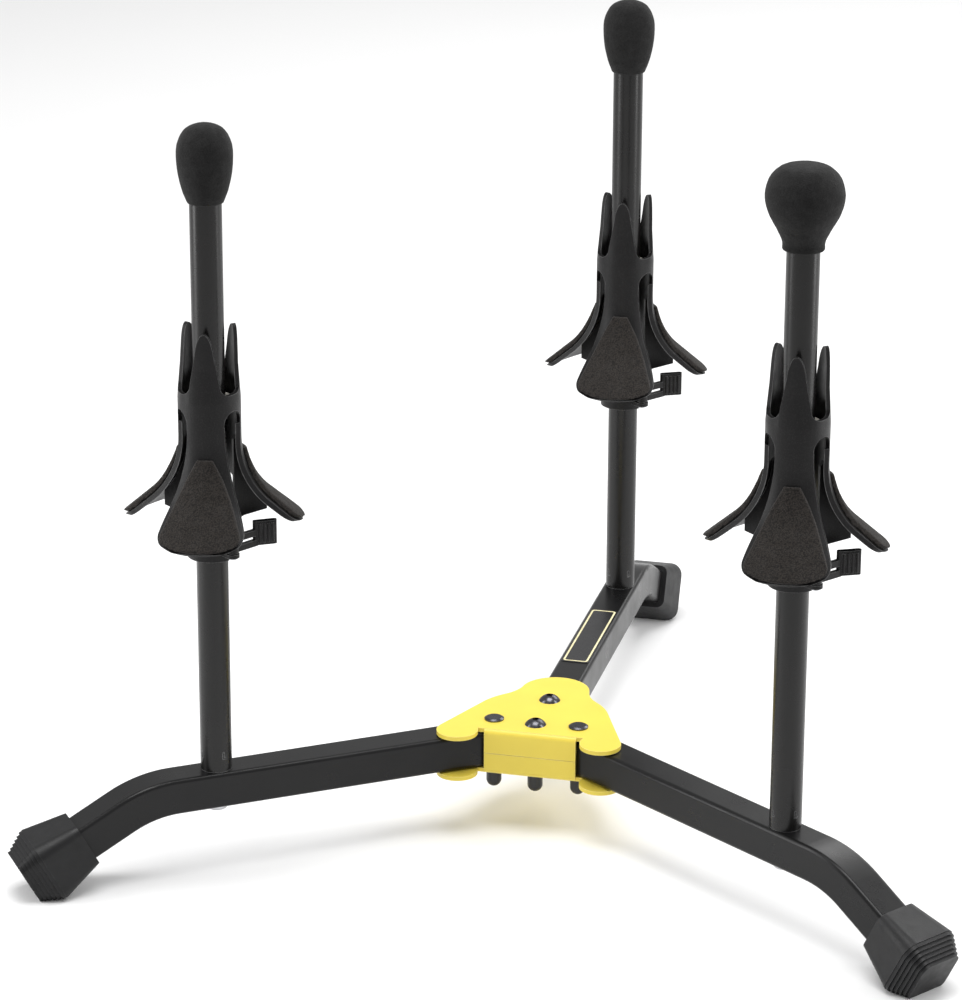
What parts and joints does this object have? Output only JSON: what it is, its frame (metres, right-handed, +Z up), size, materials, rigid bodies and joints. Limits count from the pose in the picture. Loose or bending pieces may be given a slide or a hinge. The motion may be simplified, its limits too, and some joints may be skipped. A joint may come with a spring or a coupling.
{
  "type": "saxophone stand",
  "caption": "Folding stand with upright foam-tipped pegs and height-adjustable bell cones on a flat hub with swing-out legs.",
  "frame": {"origin": "on the floor, under the middle of the box round the open stand", "axes": "+Z up, +Y from the hub along the fixed rear leg, +X to the right of someone in front of the two swing legs"},
  "size_m": [0.4804, 0.4794, 0.3905],
  "materials": {
    "yellow_paint": "smooth gloss powder coat, pale yellow",
    "black_paint": "satin black powder coat",
    "post_paint": "satin charcoal coat on round steel tube",
    "boot_rubber": "moulded matte black rubber",
    "black_steel": "dark polished nickel plate",
    "cap_vinyl": "soft black vinyl",
    "nylon": "natural nylon",
    "black_plastic": "fine-textured moulded black plastic",
    "tip_foam": "fine-celled matte black foam",
    "pad_foam": "coarse-grained brown-black foam",
    "label": "blank black label with a cream border line",
    "zinc_steel": "zinc-plated steel"
  },
  "bodies": {
    "hub": {"hub_top_plate": "yellow_paint", "hub_bottom_plate": "yellow_paint", "rear_leg_bolts": "black_steel", "hub_nuts": "black_steel", "hub_bolt_caps": "cap_vinyl", "rear_leg_shims": "nylon", "left_pivot_bolt": "black_steel", "right_pivot_bolt": "black_steel", "left_pivot_sleeve": "zinc_steel", "right_pivot_sleeve": "zinc_steel", "left_pivot_washers": "nylon", "right_pivot_washers": "nylon", "rear_leg": "black_paint", "rear_foot": "boot_rubber", "label_plate": "label", "rear_post": "post_paint", "rear_post_plug": "zinc_steel", "rear_post_screw": "zinc_steel", "rear_tip_core": "black_plastic", "rear_tip_foam": "tip_foam"},
    "left_leg": {"left_leg": "black_paint", "left_foot": "boot_rubber", "left_post": "post_paint", "left_post_plug": "zinc_steel", "left_post_screw": "zinc_steel", "left_tip_core": "black_plastic", "left_tip_foam": "tip_foam"},
    "right_leg": {"right_leg": "black_paint", "right_foot": "boot_rubber", "right_post": "post_paint", "right_post_plug": "zinc_steel", "right_post_screw": "zinc_steel", "right_tip_core": "black_plastic", "right_tip_foam": "tip_foam"},
    "left_slider": {"left_guide_bushes": "nylon"},
    "left_cone": {"left_cone": "black_plastic", "left_cone_pads": "pad_foam", "left_lever_pin": "zinc_steel", "left_lever_spring": "zinc_steel"},
    "left_lever": {"left_lever": "black_plastic", "left_brake_pad": "cap_vinyl"},
    "right_slider": {"right_guide_bushes": "nylon"},
    "right_cone": {"right_cone": "black_plastic", "right_cone_pads": "pad_foam", "right_lever_pin": "zinc_steel", "right_lever_spring": "zinc_steel"},
    "right_lever": {"right_lever": "black_plastic", "right_brake_pad": "cap_vinyl"},
    "rear_slider": {"rear_guide_bushes": "nylon"},
    "rear_cone": {"rear_cone": "black_plastic", "rear_cone_pads": "pad_foam", "rear_lever_pin": "zinc_steel", "rear_lever_spring": "zinc_steel"},
    "rear_lever": {"rear_lever": "black_plastic", "rear_brake_pad": "cap_vinyl"}
  },
  "joints": [
    {"name": "left_leg_fold", "type": "hinge", "parent": "hub", "child": "left_leg", "pos_m": [-0.0224, -0.07961, 0.044], "axis": [0, 0, -1], "range_deg": [0, 105]},
    {"name": "right_leg_fold", "type": "hinge", "parent": "hub", "child": "right_leg", "pos_m": [0.0224, -0.07961, 0.044], "axis": [0, 0, 1], "range_deg": [0, 105]},
    {"name": "left_cone_height", "type": "slide", "parent": "left_leg", "child": "left_slider", "axis": [0, 0, 1], "range_m": [-0.0985, 0.0515]},
    {"name": "left_cone_turn", "type": "hinge", "parent": "left_slider", "child": "left_cone", "pos_m": [-0.14615, -0.16788, 0.187], "axis": [0, 0, 1], "continuous": true},
    {"name": "left_release_lever", "type": "hinge", "parent": "left_cone", "child": "left_lever", "pos_m": [-0.13248, -0.17747, 0.179], "axis": [0, 0, 1], "range_deg": [0, 12], "stiffness_Nm_per_rad": 0.3, "springref_deg": -5.73},
    {"name": "right_cone_height", "type": "slide", "parent": "right_leg", "child": "right_slider", "axis": [0, 0, 1], "range_m": [-0.1108, 0.0392]},
    {"name": "right_cone_turn", "type": "hinge", "parent": "right_slider", "child": "right_cone", "pos_m": [0.14615, -0.16788, 0.1993], "axis": [0, 0, 1], "continuous": true},
    {"name": "right_release_lever", "type": "hinge", "parent": "right_cone", "child": "right_lever", "pos_m": [0.15893, -0.17863, 0.1913], "axis": [0, 0, 1], "range_deg": [0, 12], "stiffness_Nm_per_rad": 0.3, "springref_deg": -5.73},
    {"name": "rear_cone_height", "type": "slide", "parent": "hub", "child": "rear_slider", "axis": [0, 0, 1], "range_m": [-0.0912, 0.0558]},
    {"name": "rear_cone_turn", "type": "hinge", "parent": "rear_slider", "child": "rear_cone", "pos_m": [0, 0.13139, 0.1797], "axis": [0, 0, 1], "continuous": true},
    {"name": "rear_release_lever", "type": "hinge", "parent": "rear_cone", "child": "rear_lever", "pos_m": [0.01287, 0.12075, 0.1717], "axis": [0, 0, 1], "range_deg": [0, 12], "stiffness_Nm_per_rad": 0.3, "springref_deg": -5.73}
  ]
}
